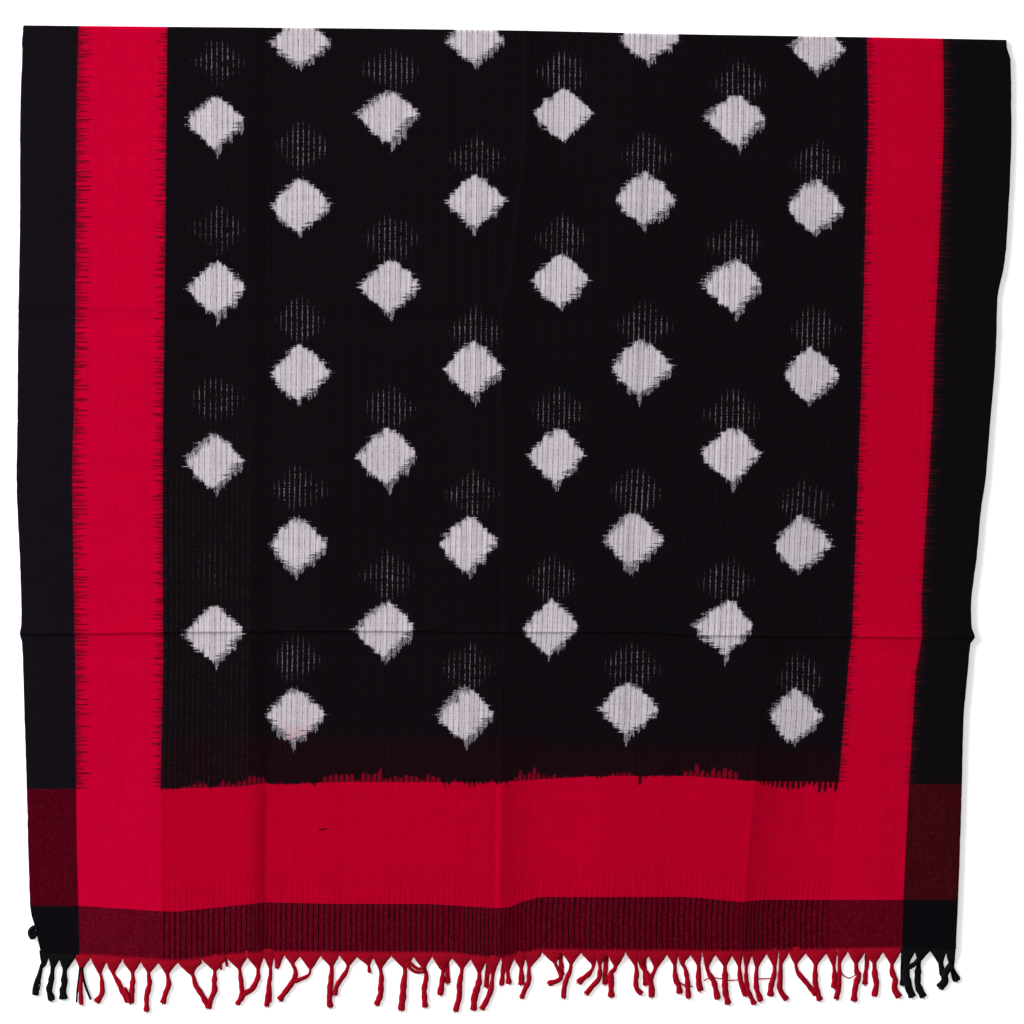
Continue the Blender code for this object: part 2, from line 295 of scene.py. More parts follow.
def grid_lines(spans, near, step):
    """Places between guides, counted in spans: close together next to a pressed fold, even elsewhere."""
    lines = []
    for index, span in enumerate(spans):
        first = near if index else (0,)
        last = near if index + 1 < len(spans) else (0,)
        run = span - first[-1] - last[-1]
        steps = round(run / step)
        middle = [first[-1] + run * count / steps for count in range(1, steps)]
        lines += [index + off / span for off in (*first, *middle)]
        lines += [index + (span - off) / span for off in reversed(last[1:])]
    return [*lines, len(spans)]


def between(guides, position, place):
    """Position 1.25 is a quarter of the way from the second guide to the third."""
    band = min(int(position), len(guides) - 2)
    share = position - band
    return (1 - share) * eased(guides[band], place) + share * eased(guides[band + 1], place)


def front_place(column, row):
    """Across and down of a point of the front layer, on the folds' own slanting lines."""
    across = between(COLUMN_GUIDES, column, 0)
    for _ in range(3):
        down = between(ROW_GUIDES, row, across)
        across = between(COLUMN_GUIDES, column, down)
    return across, down


def front_height(across, down):
    """Height of the front layer's upper face: pressed folds, slow waves and a little unevenness."""
    height = FRONT_TOP
    for crease in LENGTHWISE:
        off = across - eased(crease.path, down)
        if crease.section[0][0] < off < crease.section[-1][0]:
            height += eased(crease.section, off) * along(crease.strength, down)
    for crease in CROSSWISE:
        off = down - eased(crease.path, across)
        if crease.section[0][0] < off < crease.section[-1][0]:
            height += eased(crease.section, off) * along(crease.strength, across)
    for wave, length_across, length_down, start in WAVES:
        height += wave * math.sin(2 * math.pi * (across / length_across + down / length_down) + start)
    grain_across, grain_down = UNEVEN_GRAIN
    height += UNEVENNESS * noise.noise(Vector((across / grain_across, down / grain_down, 3)))
    return min(max(height, FRONT_LOWEST), FRONT_HIGHEST)


def rear_place(column, share):
    """Across and down of a point of the rear layer, and its across before the inset."""
    across, top = front_place(column, 0)
    down = top + FOLD_REACH
    down += share * (along(FRONT_END, across) - REAR_SHORTFALL - down)
    left = eased(LEFT_SELVEDGE, down)
    right = eased(RIGHT_SELVEDGE, down)
    free = between(COLUMN_GUIDES, column, down)
    inset = REAR_INSET * min((down - top - FOLD_REACH) / INSET_RUN, 1)
    part = (free - left) / (right - left)
    return left + inset + part * (right - left - 2 * inset), down, free


def front_weft(across, down):
    """Which weft of the front layer lies at a place, in repeats; never past the first row's own."""
    first = along(FRONT_WEFTS[0][1], across)
    if down < first:
        return (down - first) / REPEAT
    return placed_between(FRONT_WEFTS, down, across)


def rear_weft(across, down):
    """The same of the rear layer, where the repeats run backwards from the fold."""
    first = along(REAR_WEFTS[0][1], across)
    fold = along(FOLD_LINE, across)
    if down >= first:
        return placed_between(REAR_WEFTS, down, across)
    level = -1 + (first - down) / REPEAT
    share = min(max((down - fold) / SQUEEZE, 0), 1)
    return share * level + (1 - share) * front_weft(across, fold)


def warp_at(across, down):
    """Which warp thread lies at a place: its place across at the fold."""
    return placed_between(WARP_LINES, across, down)


def motif_column(warp):
    """Which column of diamonds a warp thread is near, in repeats."""
    first, last = MOTIF_COLUMNS[0], MOTIF_COLUMNS[-1]
    if warp < first[0]:
        return first[1] + (warp - first[0]) / REPEAT
    if warp > last[0]:
        return last[1] + (warp - last[0]) / REPEAT
    return along(MOTIF_COLUMNS, warp)


# Strands: the path of each as (across, down), its share of the usual width, and its yarn
RED, BLACK = 0, 1
Strand = namedtuple("Strand", "path share yarn", defaults=(1.0, RED))
FRONT_STRANDS = (
    Strand(((24.5, 928), (24, 938), (21, 943), (18.4, 953), (15.8, 961.5), (15.5, 970.5)), 1.1, BLACK),
    Strand(((32.5, 929), (32.6, 939), (32, 947), (30.6, 957), (29, 965.5), (32, 976)), 1.15, BLACK),
    Strand(((48, 930), (45, 940), (44, 959.4), (42.5, 965.5), (43, 974.7)), 1.25, BLACK),
    Strand(((65, 931), (61.5, 943), (60.2, 961), (61.2, 980)), 0.8),
    Strand(((78, 931.5), (79, 945), (81, 953), (82, 961), (81.6, 969.6), (76, 977.8))),
    Strand(((95, 932), (93.4, 941), (93.4, 949), (98, 957), (103, 967.5), (108, 977.8)), 1.1),
    Strand(((112, 932.5), (112.2, 947), (112.7, 955), (111.7, 965.5), (110.7, 978.8))),
    Strand(((129, 934), (128.6, 951), (129, 959.4), (126.5, 969.6), (126.5, 977.8), (126.5, 987))),
    Strand(((148, 935), (147, 945), (147.4, 951), (148.5, 960.4), (145, 969.6), (142.3, 978.8))),
    Strand(((167, 935.5), (169.7, 944), (172.8, 951), (175.3, 960.4), (182, 970.6), (187, 980))),
    Strand(((195.5, 932), (194.7, 947), (194.2, 955), (194.2, 965.5), (190.6, 974.7), (187.6, 983.9))),
    Strand(((217, 929), (220.2, 951), (221.2, 961.4), (221.7, 967.6), (220.2, 973.7), (216.6, 979.8))),
    Strand(((237, 928), (238, 947), (237, 955), (231.4, 964.5), (225, 968.6), (220, 975))),
    Strand(((250, 927), (250.3, 947), (249.3, 957.4), (248.3, 967.6), (246.7, 982))),
    Strand(((257, 927), (257, 938), (256.4, 944))),
    Strand(((271, 927), (272.5, 938), (274.8, 945), (274.8, 951), (271.2, 959.4), (265, 967.6),
            (259, 975.7))),
    Strand(((290, 927.5), (290, 945), (287.6, 951), (281.4, 954.3), (274, 957)), 0.85),
    Strand(((312, 928), (311.5, 945), (310.5, 957.4), (309.5, 967.6), (310, 982.9))),
    Strand(((326, 928), (328.5, 938), (326, 947), (319, 957), (316, 963.5), (314.6, 970.6)), 0.9),
    Strand(((346, 928), (348, 938), (349.6, 948)), 0.9),
    Strand(((359.5, 928), (359.8, 941), (361.3, 951), (360.8, 961.4), (360.3, 970.6), (356.2, 980.8))),
    Strand(((384, 928), (384.8, 945), (384.3, 955), (382.8, 967.6), (382.2, 977.8), (381.2, 986)), 1.15),
    Strand(((403.5, 928), (403.7, 941), (406.2, 951), (404.7, 961.4), (404.2, 969.6), (405.2, 982.9))),
    Strand(((422, 928), (422, 941), (423, 947), (422, 959.4), (420, 970.6)), 1.1),
    Strand(((442.5, 929), (442.4, 938), (441.4, 949), (439.4, 959.4), (439.4, 969.6), (435.3, 987))),
    Strand(((459.3, 931), (459.3, 951), (457.8, 961.4), (454.7, 971.6), (453.2, 986)), 1.1),
    Strand(((474.5, 933), (473, 941), (472, 955), (470, 967.6), (466, 976.7), (461.8, 985))),
    Strand(((486, 931.5), (487.7, 947), (489, 959.4))),
    Strand(((500, 929), (501.4, 947), (501.4, 960.4)), 1.15),
    Strand(((510, 927), (509, 947), (508.6, 956.3), (504.5, 966.5), (501.4, 973.7))),
    Strand(((532, 925), (536, 941), (541, 951), (538, 956), (528, 959.4))),
    Strand(((551.5, 925), (551.4, 935), (550.4, 945), (546.3, 955.3), (544.3, 963.5), (543.8, 973.7))),
    Strand(((570, 925), (573.9, 939), (569.8, 948), (563.7, 953.3), (558, 958.4))),
    Strand(((579, 925), (580, 947), (578, 955.3), (571.8, 962.4), (565.7, 969.6))),
    Strand(((597, 926), (595.3, 943), (591.2, 949), (591.2, 961.4), (591.2, 972.7)), 1.1),
    Strand(((614, 926), (616.7, 947), (615.7, 955.3), (616.7, 963.5), (621.8, 969.6))),
    Strand(((620.5, 926), (621, 940), (627, 949), (631, 959.4), (632, 972.7)), 1.1),
    Strand(((638, 926), (636.5, 938), (634, 947), (629, 956))),
    Strand(((655, 926), (655.3, 951), (658.9, 961.4), (659.9, 969))),
    Strand(((662, 926), (662, 937), (665.5, 945), (667.6, 957.3), (668.6, 973.7))),
    Strand(((679, 926), (678.8, 947), (678.8, 957.3), (680.8, 966.5)), 1.15),
    Strand(((685, 926), (688, 946), (694, 957.3), (698, 974.7))),
    Strand(((704.3, 926), (705.3, 951), (705.3, 965.5), (708.4, 979.8)), 1.25),
    Strand(((719.6, 926), (720, 951), (723.7, 965.5), (726, 971.6))),
    Strand(((727, 926), (726.2, 951), (728.8, 967.6), (734.9, 979.8))),
    Strand(((738.5, 926), (736.4, 949), (737, 963.5), (741, 976.7))),
    Strand(((756, 926), (754.3, 949), (751.2, 961.4), (750.7, 971.6)), 1.1),
    Strand(((762, 926), (760.4, 951), (760.4, 965.5), (767.5, 975))),
    Strand(((775.7, 925), (776, 937), (777.8, 947), (787, 958.4), (796, 970.6))),
    Strand(((797, 925), (795.5, 951), (796, 961), (800.5, 975.7)), 1.1),
    Strand(((814, 924), (814.5, 951), (814.5, 963.5))),
    Strand(((820.5, 924), (819.4, 951), (818.9, 963.5), (816.3, 974.7))),
    Strand(((835.7, 924), (836.7, 945), (838.8, 951), (835.7, 961.4), (834.2, 976.7)), 1.1),
    Strand(((854, 924), (855, 947), (856.6, 959.4), (854, 971.6)), 1.2),
    Strand(((873, 923.5), (872.4, 945), (875.5, 955.3), (874.5, 963.5), (879.6, 972.7)), 1.1),
    Strand(((890, 923), (886.7, 947), (888.8, 961.4), (892.9, 972.7)), 1.45, BLACK),
    Strand(((901, 923), (899, 941), (898, 951), (898.5, 961.4), (904, 972.7)), 1.2, BLACK),
    Strand(((920.4, 923.5), (921.4, 941), (924.5, 951), (924.5, 957.3), (919.4, 963.5)), 1.6, BLACK),
    Strand(((932, 924), (932.7, 943), (937.8, 956.3)), 1.35, BLACK),
)
# Where a rear strand shows between the front ones: its tip
REAR_TIPS = (
    (428, 959), (466, 963), (475, 971), (481.5, 961), (542, 951), (585, 960), (626, 961), (845, 960),
    (883, 961), (893, 963),
)
REAR_FIRST = 27.0
REAR_PITCH = 16.5
REAR_COUNT = 55
REAR_SHARE = 0.9
REAR_HIDDEN = 5.0  # the others stop this far above the front end
RED_WARPS = (55, 880)  # the warp is black outside these places across
# Loose ends that branch off or lie across from strand to strand
LOOSE_ENDS = (
    Strand(((60, 940), (59, 950), (57, 965.5), (56.3, 977.8)), 0.4, BLACK),
    Strand(((61.5, 940), (62.7, 951), (65.3, 961.4), (70.4, 975)), 0.5, BLACK),
    Strand(((19, 953), (19.8, 959), (18.5, 966)), 0.3, BLACK),
    Strand(((104, 963), (108, 971), (109.5, 978)), 0.8),
    Strand(((199, 934), (200.5, 940), (201, 945)), 0.6),
    Strand(((205, 933), (206.4, 938), (207, 942)), 0.6),
    Strand(((250, 958), (251, 970), (250.6, 978)), 0.4),
    Strand(((386, 938), (391, 944.5), (397, 947.5), (404, 947)), 0.7),
    Strand(((387, 934), (392, 940), (398, 944), (404, 943)), 0.7),
    Strand(((684, 956), (691, 953), (702, 954)), 0.25),
    Strand(((708, 955.8), (716, 955.3), (721, 955.2)), 0.25),
    Strand(((738, 954.3), (748, 953.8), (754, 954)), 0.25),
    Strand(((820, 946), (824, 951), (829.6, 953.3), (836, 950.2)), 0.25),
    Strand(((657, 955.5), (665.5, 961.4), (672.6, 961.8)), 0.35),
    Strand(((888, 943), (895, 939), (900, 933)), 1.0, BLACK),
    Strand(((931, 940), (927, 946), (924, 952)), 1.3, BLACK),
)
# The selvedge's last weft sticks out of the left corner in a curl
CORNER_LOOP = (
    (17, 902), (12.5, 903.5), (10, 907), (10.6, 911), (13.5, 912), (15.2, 908.5), (12.4, 907), (11.6, 914.5),
)

# Sizes of the strands and of the threads among them
STRAND_SIDES = 12
RING_STEP = 1.4
STRAND_HALF_WIDTH = 2.75
FRONT_HALF_HEIGHT = 1.5
REAR_HALF_HEIGHT = 0.65
GATHER_FULL = 5.0  # the warp ends stay spread for this long
GATHER_RUN = 17.5  # are drawn together into a strand over this
SINK_RUN = 16.0  # and come down to the surface over this
GATHER_HALF_HEIGHT = 0.35
FRONT_GATHER = 14.0  # the most that they spread to one side
REAR_GATHER = 8.2
LEAST_GATHER = 2.0
CORNER_GATHERS = (4.5, 3.5)  # on the outer sides of the first and the last strand
FLARE_EASE = 1.15
NECK = 0.62  # width of a strand's neck as a share
NECK_RUN = 12.0  # over which it widens again
TUCK = 2.5  # the warp ends start this far inside the cloth's end
TWIST_PITCH = 19.0
PLY_DEPTH = 0.06
WAVE = 0.55  # how far a strand strays from its path
TIP_RUN = 6.0  # over which it swells again to its cut end
TIP_FIBRES = 4
TIP_SIDES = 5
THREAD_SIDES = 8
LOOSE_STEP = 1.2
LOOSE_LOWEST = 1.6  # height of the thinnest loose ends
LOOSE_TAPER = 0.15
LOOP_STEP = 1.0
LOOP_HEIGHT = 3.2
LOOP_HALF = 2.7
LOOP_TAPER = 0.25

MIDDLE_ACROSS = 494.25
MIDDLE_DOWN = 492.75


def point(across, down, height):
    return Vector((across - MIDDLE_ACROSS, MIDDLE_DOWN - down, height)) * MM


def linear(code):
    """An sRGB hex colour as linear light."""
    channels = [int(code[place : place + 2], 16) / 255 for place in (0, 2, 4)]
    return tuple(
        value / 12.92 if value <= 0.04045 else ((value + 0.055) / 1.055) ** 2.4 for value in channels
    )


# Kinds of node with the settings that they take all through the pattern
PRESETS = {
    "Blend": ("Mix", {"data_type": "RGBA"}),
    "SoftStep": ("MapRange", {"interpolation_type": "SMOOTHSTEP"}),
}


def add_node(tree, kind, *feeds, **settings):
    """Adds a node with its settings, and feeds its shown inputs in turn with nodes, sockets or values.

    A kind in capitals is the operation of a Math node. A feed in quotes is an sRGB hex colour.
    """
    if kind.isupper():
        kind, settings = "Math", {"operation": kind}
    kind, preset = PRESETS.get(kind, (kind, {}))
    node = tree.nodes.new("ShaderNode" + kind)
    for name, value in {**preset, **settings}.items():
        setattr(node, name, value)
    sockets = [socket for socket in node.inputs if socket.enabled]
    for socket, feed in zip(sockets, feeds):
        if feed is None:
            continue
        if isinstance(feed, str):
            feed = linear(feed)
        if isinstance(feed, bpy.types.Node):
            feed = next(output for output in feed.outputs if output.enabled)
        if isinstance(feed, bpy.types.NodeSocket):
            tree.links.new(feed, socket)
        elif isinstance(feed, tuple) and socket.type == "RGBA":
            socket.default_value = (*feed, 1)
        else:
            socket.default_value = feed
    return node


def new_material(name):
    """An empty material, and its shader and output for the caller to feed."""
    material = bpy.data.materials.new(name)
    material.use_nodes = True
    tree = material.node_tree
    tree.nodes.clear()
    shader = tree.nodes.new("ShaderNodeBsdfPrincipled")
    output = tree.nodes.new("ShaderNodeOutputMaterial")
    tree.links.new(shader.outputs["BSDF"], output.inputs["Surface"])
    return material, tree, shader


class ShawlSettings(bpy.types.PropertyGroup):
    """Sizes and colours of the shawl."""

    flat_width: bpy.props.FloatProperty(
        name="Flat width", description="Width of the woven cloth, selvedge to selvedge",
        default=0.98, min=0.5, max=1.5, unit="LENGTH", subtype="DISTANCE",
    )
    flat_length: bpy.props.FloatProperty(
        name="Flat length", description="Length of the woven cloth before it is folded, without the fringes",
        default=1.81, min=0.9, max=3.0, unit="LENGTH", subtype="DISTANCE",
    )
    thickness: bpy.props.FloatProperty(
        name="Cloth thickness", description="Thickness of one layer",
        default=0.0008, min=0.0003, max=0.002, unit="LENGTH", subtype="DISTANCE", precision=4,
    )
    strand_width: bpy.props.FloatProperty(
        name="Strand width", description="Width of a twisted fringe strand",
        default=2 * STRAND_HALF_WIDTH * MM, min=0.002, max=0.01,
        unit="LENGTH", subtype="DISTANCE", precision=4,
    )
    black: bpy.props.FloatVectorProperty(
        name="Black", description="Dyed black cotton of the selvedges", default=linear("130f15"),
        size=3, min=0, max=1, subtype="COLOR",
    )
    red: bpy.props.FloatVectorProperty(
        name="Red", description="Dyed red cotton, warp and weft", default=linear("b00025"),
        size=3, min=0, max=1, subtype="COLOR",
    )
    white: bpy.props.FloatVectorProperty(
        name="White", description="Undyed cotton of the diamonds", default=linear("d5ccd3"),
        size=3, min=0, max=1, subtype="COLOR",
    )
    floor: bpy.props.FloatVectorProperty(
        name="Floor", description="Matt white paper under the shawl", default=(0.97, 0.97, 0.97),
        size=3, min=0, max=1, subtype="COLOR",
    )


# Double ikat cotton: both warp and weft are tied and dyed before weaving, so every edge of the
# pattern steps by bundles of warp threads and feathers along single wefts. Matt, with no gloss.
def ikat_cotton(settings):
    material, tree, shader = new_material("double ikat handwoven cotton")
    add = partial(add_node, tree)

    # Threads in millimetres, the repeats of the pattern, and those of the layer behind
    metres = add("SeparateXYZ", add("UVMap", uv_map="Weave"))
    repeats = add("SeparateXYZ", add("UVMap", uv_map="Motif"))
    behind = add("SeparateXYZ", add("UVMap", uv_map="Behind"))
    warp = add("DIVIDE", metres.outputs[0], MM)
    weft = add("DIVIDE", metres.outputs[1], MM)
    column, row = repeats.outputs[0], repeats.outputs[1]
    end_share = add("ABSOLUTE", row)

    def chance(*parts):
        """A steady random number from 0 to 1 for whole-numbered parts, the last of which sets it apart."""
        return add("TexWhiteNoise", add("CombineXYZ", *parts), noise_dimensions="3D")

    def three_chances(*parts):
        return add("SeparateColor", chance(*parts).outputs["Color"]).outputs

    def drift(warp_grain, weft_grain, seed, detail=1.0):
        """Soft noise whose grain is so many millimetres across the warp and along it."""
        place = add("CombineXYZ", add("DIVIDE", warp, warp_grain), add("DIVIDE", weft, weft_grain), seed)
        return add("TexNoise", place, None, 1.0, detail)

    def number_of(place, size):
        """Which of a row of things of one size a place is in."""
        return add("FLOOR", add("DIVIDE", place, size))

    def within(value, low, high):
        """1 where a value lies between two others, 0 elsewhere."""
        return add("MULTIPLY", add("GREATER_THAN", value, low), add("LESS_THAN", value, high))

    def diamond(off_x, off_y, half_x, half_y, soft):
        """1 inside a diamond with slightly bulging sides, 0 outside."""
        share_x = add("POWER", add("DIVIDE", add("MAXIMUM", off_x, 0.0), half_x), DIAMOND_BULGE)
        share_y = add("POWER", add("DIVIDE", add("MAXIMUM", off_y, 0.0), half_y), DIAMOND_BULGE)
        return add("SoftStep", add("ADD", share_x, share_y), 1.0 + soft, 1.0 - soft)

    # Dents of the reed: bundles of warp with an empty dent between them
    warp_thread = number_of(warp, WARP_PITCH)
    weft_thread = number_of(weft, WEFT_PITCH)
    dent = add("DIVIDE", add("SUBTRACT", warp, FIELD_LEFT), DENT_PITCH)
    dent = add("ADD", dent, add("MULTIPLY_ADD", drift(9.0, 38.0, 0.0), 0.26, -0.13))
    bundle = add("FLOOR", dent)
    in_bundle = add("SUBTRACT", add("FRACT", dent), 0.5)
    from_gap = add("MULTIPLY", add("PINGPONG", dent, 0.5), DENT_PITCH)
    in_field = within(warp, FIELD_LEFT - 1.2, FIELD_RIGHT)

    # Place within the nearest diamond, in millimetres
    nearest = add("ROUND", column)
    off_column = add("MULTIPLY_ADD", add("SUBTRACT", column, nearest), REPEAT, -1.3)
    row_turn = add("SUBTRACT", add("SUBTRACT", row, nearest), 1.0)
    off_row_repeats = add("WRAP", row_turn, 1.0, -1.0)
    row_number = add("ROUND", add("SUBTRACT", row_turn, off_row_repeats))
    off_row = add("MULTIPLY", off_row_repeats, REPEAT)
    side = add("SIGN", off_row)
    flank = add("SIGN", off_column)
    luck = three_chances(nearest, row_number, 5.0)
    in_columns = within(column, -0.5, len(MOTIF_COLUMNS) - 0.5)
    in_pattern = add("MULTIPLY", add("LESS_THAN", end_share, LAST_DIAMONDS), in_columns)

    # Tied warp: whole bundles slip a little, so the diamonds' tops and feet go up in steps, and
    # threads near the middle reach down to a tip
    bundle_luck = three_chances(bundle, row_number, 1.0)
    bundle_reach = add("MULTIPLY_ADD", chance(bundle, row_number, add("ADD", side, 3.0)), 6.4, -2.8)
    thread_reach = add("MULTIPLY_ADD", chance(warp_thread, row_number, side), 5.0, -2.2)
    bundle_off = add("ABSOLUTE", add("MULTIPLY_ADD", in_bundle, -0.7 * DENT_PITCH, off_column))
    warp_off = add("ABSOLUTE", add("ADD", off_row, add("MULTIPLY_ADD", bundle_luck[0], 3.0, -2.3)))
    warp_off = add("ADD", warp_off, add("ADD", bundle_reach, thread_reach))
    foot_tip = add("SoftStep", add("ABSOLUTE", off_column), 4.2, 0.4, 0.0, 5.5)
    warp_off = add("SUBTRACT", warp_off, add("MULTIPLY", foot_tip, add("GREATER_THAN", off_row, 0.0)))
    white_warp = add("MULTIPLY", diamond(bundle_off, warp_off, *WARP_DIAMOND), in_pattern)

    # Tied weft, often a little up and to the left of the warp's, so that one is white alone. Its
    # ends are ragged low on the right, and on some diamonds low on the left too.
    weft_chance = three_chances(weft_thread, nearest, flank)
    weft_slip = add("MULTIPLY_ADD", luck[0], 4.5, 0.0)
    wisp = add("POWER", weft_chance[0], 3.0)
    weft_off = add("ABSOLUTE", add("ADD", off_column, weft_slip))
    weft_off = add("ADD", weft_off, add("MULTIPLY_ADD", wisp, -6.5, 1.0))
    low_flank = add("MULTIPLY_ADD", flank, 0.5, add("ADD", side, luck[2]))
    ragged = add("MULTIPLY", weft_chance[1], add("GREATER_THAN", low_flank, 1.1))
    weft_off = add("MULTIPLY_ADD", ragged, 8.0, weft_off)
    weft_off_row = add("ABSOLUTE", add("ADD", off_row, add("MULTIPLY_ADD", luck[1], 4.0, 0.6)))
    white_weft = add("MULTIPLY", diamond(weft_off, weft_off_row, *WEFT_DIAMOND), in_pattern)

    # The side bands: hard edges in the warp, and wefts whose red stops short of them or runs past.
    # On the right band's outer edge it runs past in a haze.
    on_left = add("LESS_THAN", warp, CLOTH_MIDDLE)
    band_middle = add("MULTIPLY_ADD", on_left, LEFT_BAND_MIDDLE - RIGHT_BAND_MIDDLE, RIGHT_BAND_MIDDLE)
    band_half = add("MULTIPLY_ADD", on_left, LEFT_BAND_HALF - RIGHT_BAND_HALF, RIGHT_BAND_HALF)
    from_middle = add("SUBTRACT", warp, band_middle)
    past_edge = add("SUBTRACT", add("ABSOLUTE", from_middle), band_half)
    edge_side = add("GREATER_THAN", from_middle, 0.0)
    edge = add("MULTIPLY_ADD", on_left, 2.0, edge_side)
    hazy = add("MULTIPLY", edge_side, add("SUBTRACT", 1.0, on_left))
    cluster = add("CombineXYZ", add("MULTIPLY", edge, 9.0), add("DIVIDE", weft, 18.0), 4.0)
    cluster = add("TexNoise", cluster, None, 1.0, 2.0)
    weft_luck = three_chances(number_of(weft, 1.8), edge, 21.0)
    reach_in = add("ADD", add("MULTIPLY_ADD", on_left, 7.0, 9.0), add("MULTIPLY", edge_side, -5.0))
    reach_out = add("MULTIPLY_ADD", hazy, 5.0, 4.0)
    tied = add("MULTIPLY", add("SoftStep", cluster, 0.42, 0.58), add("POWER", weft_luck[0], 0.4))
    few = add("MULTIPLY_ADD", on_left, 0.08, 0.15)
    tied = add("MAXIMUM", tied, add("MULTIPLY", weft_luck[2], few))
    rarity = add("MULTIPLY_ADD", hazy, -1.6, add("MULTIPLY_ADD", on_left, 1.3, 2.2))
    loose = add("MULTIPLY", add("SoftStep", cluster, 0.56, 0.4), add("POWER", weft_luck[1], rarity))
    weft_end = add(
        "ADD", add("MULTIPLY", add("MULTIPLY", tied, reach_in), -1.0), add("MULTIPLY", loose, reach_out)
    )
    smudge = add("MULTIPLY_ADD", hazy, 4.5, 3.0)
    side_weft = add("SoftStep", add("DIVIDE", add("SUBTRACT", past_edge, weft_end), smudge), 1.0, -1.0)
    side_warp = add("LESS_THAN", past_edge, 0.0)
    above_foot = add("LESS_THAN", end_share, BAND_FOOT)
    end_band = add("MULTIPLY", above_foot, add("GREATER_THAN", end_share, BAND_TOP))
    red_weft = add("MAXIMUM", end_band, add("MULTIPLY", above_foot, side_weft))

    # Red warp in the field's ends, from a tied line that bundles run past or stop short of
    bundle_share = add("MULTIPLY_ADD", chance(bundle, 9.0, 9.0), 0.9, 0.3)
    thread_stray = add("MULTIPLY_ADD", chance(warp_thread, 8.0, 8.0), 3.4, -1.7)
    overshoot = add("ADD", add("MULTIPLY", behind.outputs[0], bundle_share), thread_stray)
    overshoot = add("MULTIPLY", overshoot, add("SoftStep", add("ABSOLUTE", in_bundle), 0.4, 0.3))
    tied_line = add("MULTIPLY_ADD", overshoot, -1.0 / REPEAT, BAND_TOP)
    inside = within(warp, LEFT_BAND_MIDDLE, RIGHT_BAND_MIDDLE)
    below_line = add("GREATER_THAN", end_share, tied_line)
    red_warp = add("MAXIMUM", side_warp, add("MULTIPLY", inside, below_line))

    # The layer behind, whose diamonds and red band show through the empty dents. They are painted onto this
    # layer, dimmed by painted shade, and the band also as a faint painted red glow over the black field
    behind_row = behind.outputs[1]
    behind_end = add("ABSOLUTE", behind_row)
    behind_turn = add("WRAP", add("SUBTRACT", add("SUBTRACT", behind_row, nearest), 1.0), 1.0, -1.0)
    behind_off = add("ABSOLUTE", add("MULTIPLY", behind_turn, REPEAT))
    behind_off = add("ADD", behind_off, add("MULTIPLY_ADD", bundle_luck[2], 8.0, -3.0))
    ghost = diamond(add("ADD", add("ABSOLUTE", off_column), 2.0), behind_off, *FAINT_DIAMOND)
    ghost = add("MULTIPLY", ghost, add("LESS_THAN", behind_end, LAST_DIAMONDS))
    glow = add("SoftStep", behind_end, BAND_TOP - 0.04, BAND_TOP + 0.24)
    glow = add("MULTIPLY", glow, add("LESS_THAN", behind_end, BAND_FOOT))

    # Colour of the dyed crossings. The ground's blacks and reds are painted darker towards the right
    # selvedge, as painted shade for light that falls from the left
    fine = chance(warp_thread, weft_thread, 2.0)
    coarse = chance(number_of(warp, 1.3), weft_thread, 3.0)
    cloud = drift(60.0, 130.0, 7.0, 4.0)
    # Share of the way across to the right selvedge, by which the ground is given painted shade
    spread = add("DIVIDE", warp, CLOTH_WIDTH)
    in_foot = add("GREATER_THAN", end_share, BAND_FOOT)
    raw_end = add("MULTIPLY_ADD", drift(1.7, 14.0, 9.0), 7.0, -3.5)
    raw_end = add("MULTIPLY_ADD", end_share, REPEAT, raw_end)
    raw_end = add("SoftStep", raw_end, CLOTH_END * REPEAT - 2.6, CLOTH_END * REPEAT + 0.6)
    fleck = add("SoftStep", coarse, 0.55, 1.0, 0.0, 0.14)
    # Painted shade: this black and the reds below darken towards the right selvedge
    selvedge_black = add("Blend", spread, tuple(settings.black), "0f0c0f")
    field_black = add("Blend", add("SoftStep", cloud, 0.35, 0.65), "0f0c11", "120b0f")
    black = add("Blend", in_field, selvedge_black, field_black)
    # Painted glow: the red band of the layer behind tints the black field above the end band
    black = add("Blend", add("MULTIPLY", add("MULTIPLY", glow, in_field), 0.6), black, "1b080d")
    black = add("Blend", add("MULTIPLY", in_foot, 0.7), black, "0c0a0e")
    weft_red = add("Blend", fleck, add("Blend", spread, "480010", "36060d"), "7c2a3a")
    weft_red = add("Blend", end_band, add("Blend", on_left, "480c16", "2d0a12"), weft_red)
    warp_red = add("Blend", in_foot, "70031b", add("Blend", spread, "5a0218", "520010"))
    warp_red = add("Blend", raw_end, warp_red, "980820")
    warp_red = add("Blend", fleck, warp_red, "8a3446")
    full_red = add("Blend", side_warp, tuple(settings.red), add("Blend", spread, "bd002c", "b50027"))
    on_black_warp = add("Blend", red_weft, black, weft_red)
    on_red_warp = add("Blend", red_weft, warp_red, full_red)
    ground = add("Blend", red_warp, on_black_warp, on_red_warp)

    # White where both threads are tied, streaky grey where only one is, and one blushed diamond
    mottle = add("MULTIPLY", white_weft, drift(5.0, 1.4, 5.0))
    mottle = add("ADD", add("MULTIPLY", white_warp, drift(1.3, 5.0, 3.0)), mottle)
    mottle = add("MULTIPLY_ADD", fine, 0.2, add("ADD", mottle, -0.1))
    mottle = add("Blend", add("SoftStep", mottle, 0.4, 0.64), "17151a", "a9a2ad")
    grain = add("MULTIPLY_ADD", chance(warp_thread, 4.0, 4.0), 0.55, add("MULTIPLY", fine, 0.45))
    white = add("Blend", grain, "aba2aa", tuple(settings.white))
    blush = add("MULTIPLY", add("COMPARE", column, 1.0, 0.4), add("SoftStep", row, 7.98, 8.3, 0.0, 0.5))
    white = add("Blend", blush, white, "c27285")
    body = add("Blend", add("MAXIMUM", white_warp, white_weft), ground, mottle)
    body = add("Blend", add("MULTIPLY", white_warp, white_weft), body, white)
